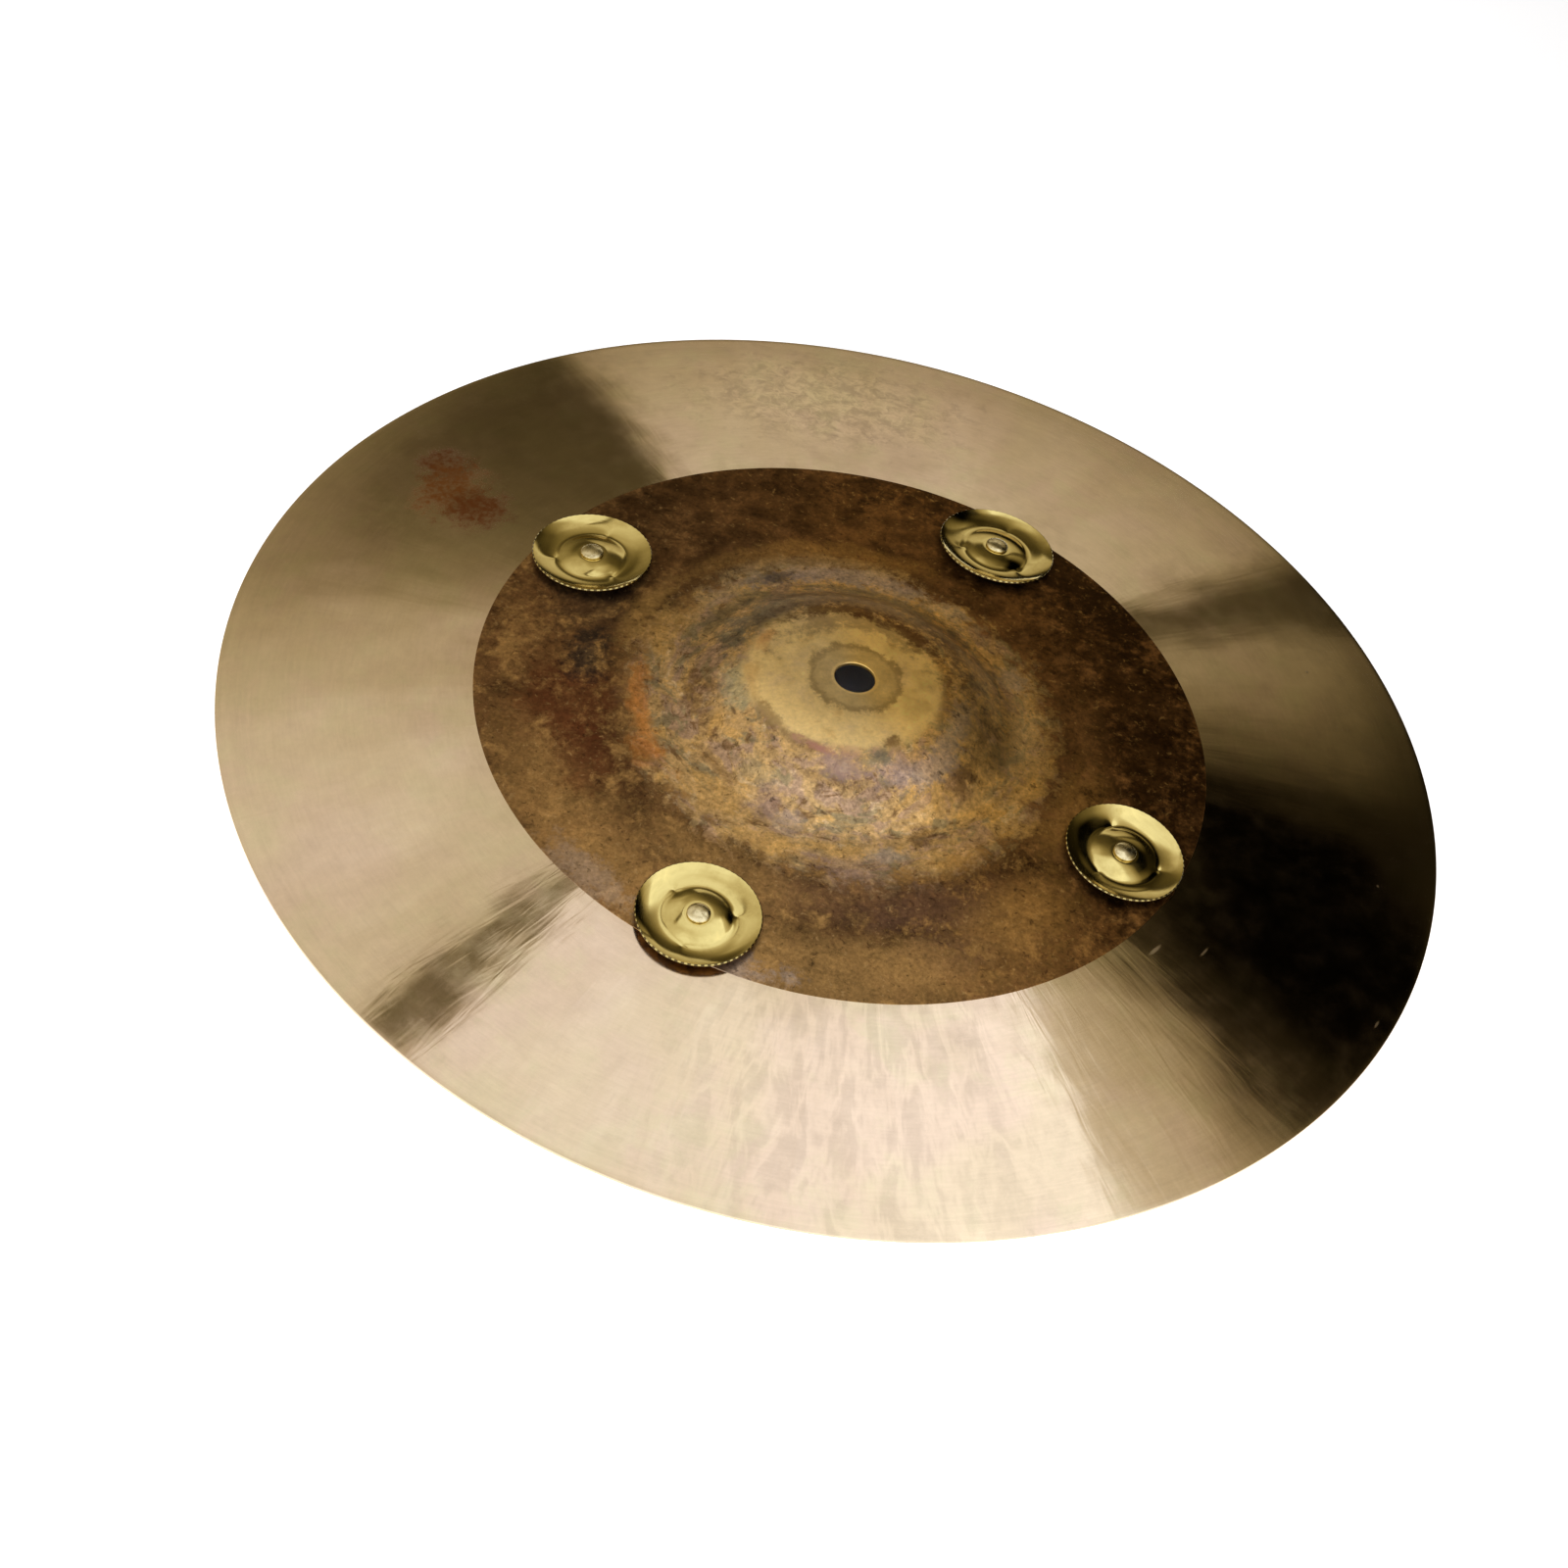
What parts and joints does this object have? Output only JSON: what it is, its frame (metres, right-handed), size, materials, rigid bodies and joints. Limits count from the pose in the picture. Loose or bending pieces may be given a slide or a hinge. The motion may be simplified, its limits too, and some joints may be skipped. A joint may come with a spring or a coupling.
{
  "type": "cymbal",
  "caption": "Thin bronze effects cymbal with a low bell, a raw centre and a polished outer band, carrying loose brass jingles on rivets.",
  "frame": {"origin": "centre of the plane that the rim rests on, straight below the centre hole", "axes": "+Z out through the bell along the cymbal's axis of revolution; +X to the right of the picture's view, +Y away from its camera"},
  "size_m": [0.4064, 0.4064, 0.0331],
  "materials": {
    "bronze": "lathed and polished outer band, raw oxidised centre",
    "jingle_brass": "polished stamped sheet",
    "rivet_nickel": "bright nickel plate"
  },
  "bodies": {
    "cymbal": {"cymbal": "bronze"},
    "rivet_1": {"rivet_1": "rivet_nickel"},
    "jingle_1": {"jingle_1": "jingle_brass"},
    "rivet_2": {"rivet_2": "rivet_nickel"},
    "jingle_2": {"jingle_2": "jingle_brass"},
    "rivet_3": {"rivet_3": "rivet_nickel"},
    "jingle_3": {"jingle_3": "jingle_brass"},
    "rivet_4": {"rivet_4": "rivet_nickel"},
    "jingle_4": {"jingle_4": "jingle_brass"}
  },
  "joints": [
    {"name": "rivet_1_lift", "type": "slide", "parent": "cymbal", "child": "rivet_1", "axis": [-0.0296, -0.1051, 0.994], "range_m": [0, 0.003]},
    {"name": "jingle_1_spin", "type": "hinge", "parent": "rivet_1", "child": "jingle_1", "pos_m": [-0.02906, -0.10339, 0.01476], "axis": [-0.0296, -0.1051, 0.994], "continuous": true},
    {"name": "rivet_2_lift", "type": "slide", "parent": "cymbal", "child": "rivet_2", "axis": [0.1026, -0.0331, 0.9942], "range_m": [0, 0.003]},
    {"name": "jingle_2_spin", "type": "hinge", "parent": "rivet_2", "child": "jingle_2", "pos_m": [0.09735, -0.03144, 0.01531], "axis": [0.1026, -0.0331, 0.9942], "continuous": true},
    {"name": "rivet_3_lift", "type": "slide", "parent": "cymbal", "child": "rivet_3", "axis": [0.0381, 0.1013, 0.9941], "range_m": [0, 0.003]},
    {"name": "jingle_3_spin", "type": "hinge", "parent": "rivet_3", "child": "jingle_3", "pos_m": [0.03649, 0.09707, 0.01516], "axis": [0.0381, 0.1013, 0.9941], "continuous": true},
    {"name": "rivet_4_lift", "type": "slide", "parent": "cymbal", "child": "rivet_4", "axis": [-0.0985, 0.0449, 0.9941], "range_m": [0, 0.003]},
    {"name": "jingle_4_spin", "type": "hinge", "parent": "rivet_4", "child": "jingle_4", "pos_m": [-0.09445, 0.04304, 0.01515], "axis": [-0.0985, 0.0449, 0.9941], "continuous": true}
  ]
}
